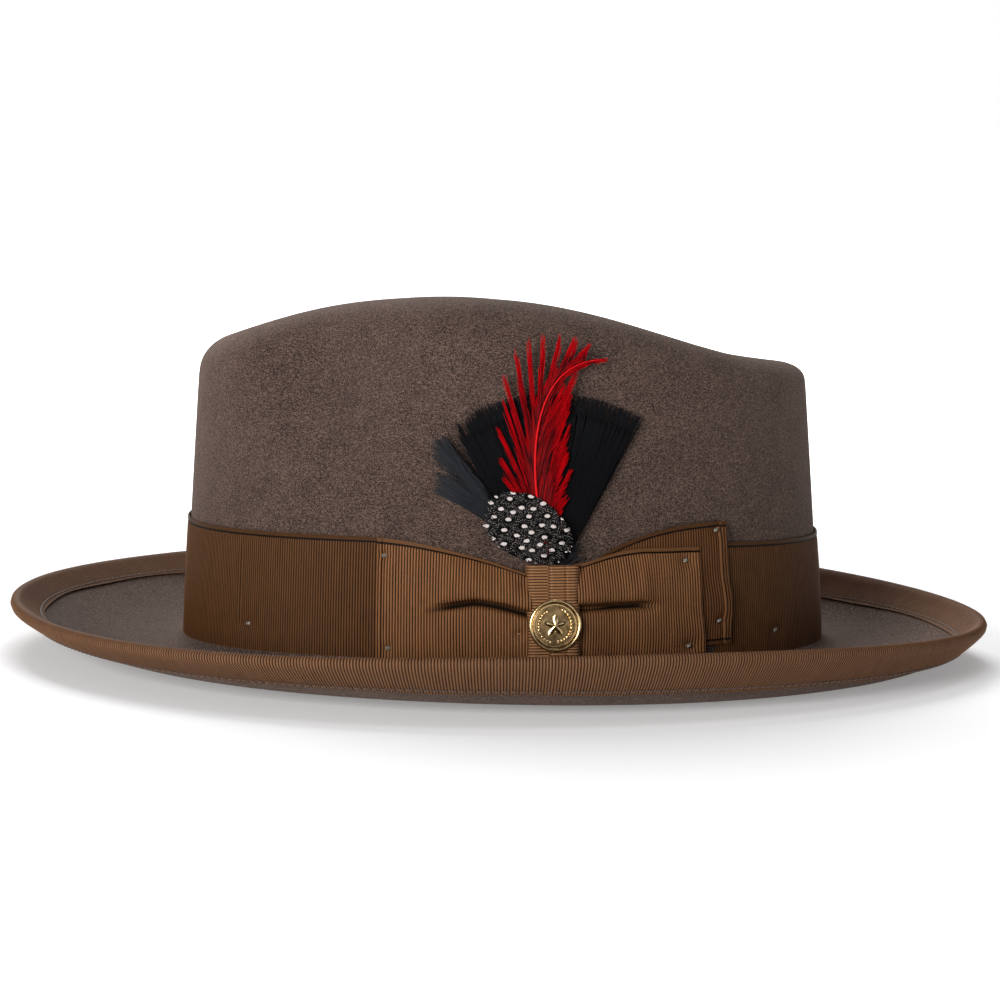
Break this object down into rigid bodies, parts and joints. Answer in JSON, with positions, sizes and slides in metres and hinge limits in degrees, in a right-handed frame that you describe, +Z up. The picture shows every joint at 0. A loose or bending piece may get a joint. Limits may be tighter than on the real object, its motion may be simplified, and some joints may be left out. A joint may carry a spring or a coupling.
{
  "type": "fedora hat",
  "caption": "Felt fedora with a creased crown, bound turned-up brim, ribbon band and side bow, feather mount, pin badge, leather sweatband and cloth lining.",
  "frame": {"origin": "centre of the hat's outline on the plane that its brim rests on", "axes": "+X towards the back of the hat, -Y towards the wearer's left side with the bow, +Z up"},
  "size_m": [0.3167, 0.2814, 0.1181],
  "materials": {
    "felt": "brushed fur felt, brown, with a fine nap",
    "binding_ribbon": "brown grosgrain with ribs across the edge",
    "band_ribbon": "brown grosgrain with upright ribs",
    "thread": "dark brown sewing thread",
    "leather": "smooth brown roan leather",
    "reed": "translucent plastic reed",
    "label": "plain woven label, blank",
    "satin": "brown satin lining",
    "clear_sheet": "thin clear film",
    "quill": "dark feather shaft",
    "black_feather": "dyed black feather with fine barbs",
    "red_feather": "dyed red hackle",
    "spotted_feather": "black feather with white spots",
    "brass": "polished brass",
    "aged_brass": "darkened brass with a fine grain"
  },
  "bodies": {
    "hat": {"felt_body": "felt", "brim_binding": "binding_ribbon", "binding_stitching": "thread", "hat_band": "band_ribbon", "band_tacks": "thread", "bow_tail": "band_ribbon", "bow_left_loop": "band_ribbon", "bow_right_loop": "band_ribbon", "bow_knot": "band_ribbon", "bow_tacks": "thread", "sweatband": "leather", "sweatband_reed": "reed", "sweatband_bow": "binding_ribbon", "size_label": "label", "lining_side": "satin", "lining_tip": "satin", "lining_piping": "binding_ribbon", "tip_guard": "clear_sheet"},
    "feather_mount": {"feather_stem": "quill", "stem_binding": "thread", "black_feather_rear": "black_feather", "black_feather_left": "black_feather", "black_feather_right": "black_feather", "black_tufts": "black_feather", "red_hackle": "red_feather", "red_quill": "red_feather", "guinea_feather": "spotted_feather"},
    "clutch": {"pin_clutch": "brass"},
    "badge": {"badge_disc": "aged_brass", "badge_rim": "brass", "badge_crest": "brass", "badge_post": "brass"}
  },
  "joints": [
    {"name": "feather_slide", "type": "slide", "parent": "hat", "child": "feather_mount", "axis": [-0.0306, 0.1042, 0.9941], "range_m": [0, 0.03]},
    {"name": "badge_turn", "type": "hinge", "parent": "hat", "child": "clutch", "pos_m": [0.00971, -0.08549, 0.02113], "axis": [0.0739, -0.9916, 0.1062], "continuous": true},
    {"name": "badge_pull", "type": "slide", "parent": "clutch", "child": "badge", "axis": [0.0739, -0.9916, 0.1062], "range_m": [0, 0.008]}
  ]
}
